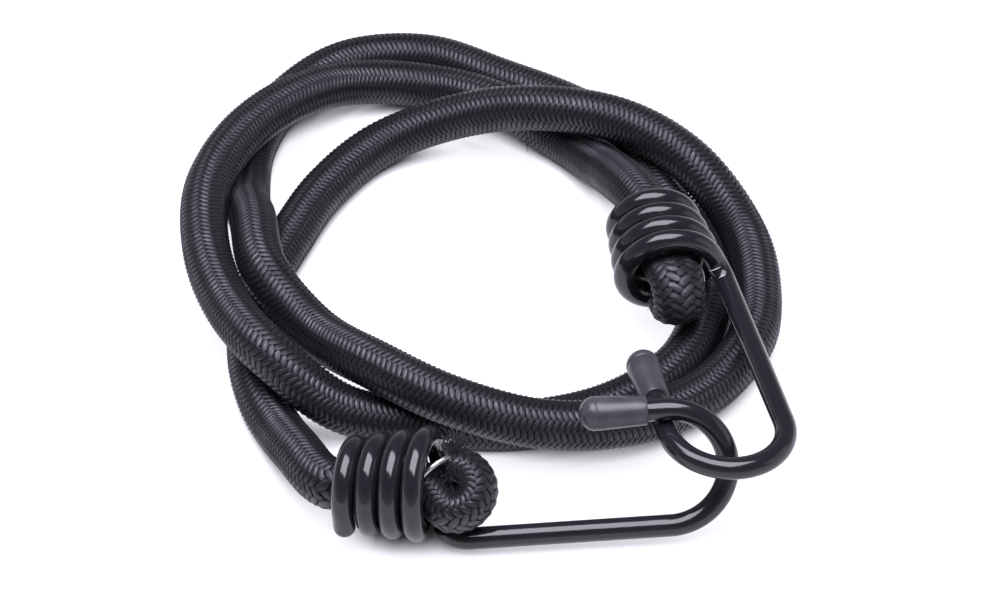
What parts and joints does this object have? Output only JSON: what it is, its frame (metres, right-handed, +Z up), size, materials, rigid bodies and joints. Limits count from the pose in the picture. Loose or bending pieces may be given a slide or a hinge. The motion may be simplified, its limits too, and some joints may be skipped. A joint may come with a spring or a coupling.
{
  "type": "bungee cord",
  "caption": "Elastic braided luggage cord lying in loose loops, with a plastic-coated wire hook wound on each end and the two hooks linked together.",
  "frame": {"origin": "middle of the part's box, on the surface it lies on", "axes": "+Z up, +Y away from the viewer along the longest extent, +X to the viewer's right"},
  "size_m": [0.1268, 0.1614, 0.029],
  "materials": {
    "braid": "black braided synthetic yarn",
    "rubber": "pale latex threads",
    "clip_steel": "bright drawn wire",
    "wire_steel": "drawn spring wire",
    "coating": "black dipped plastic, glossy",
    "cap_vinyl": "dark grey soft vinyl, matt"
  },
  "bodies": {
    "cord": {"braided_sheath": "braid", "rubber_core": "rubber", "end_clip_a": "clip_steel", "end_clip_b": "clip_steel"},
    "hook_a": {"hook_coat_a": "coating", "hook_wire_a": "wire_steel", "tip_cap_a": "cap_vinyl"},
    "hook_b": {"hook_coat_b": "coating", "hook_wire_b": "wire_steel", "tip_cap_b": "cap_vinyl"}
  },
  "joints": [
    {"name": "hook_a_swivel", "type": "hinge", "parent": "cord", "child": "hook_a", "pos_m": [-0.0072, -0.0701, 0.0126], "axis": [0.9815, -0.1322, 0.1385], "range_deg": [0, 30]},
    {"name": "hook_b_swivel", "type": "hinge", "parent": "cord", "child": "hook_b", "pos_m": [0.0396, -0.0151, 0.0175], "axis": [0.2048, -0.9769, -0.0609], "range_deg": [0, 10]}
  ]
}
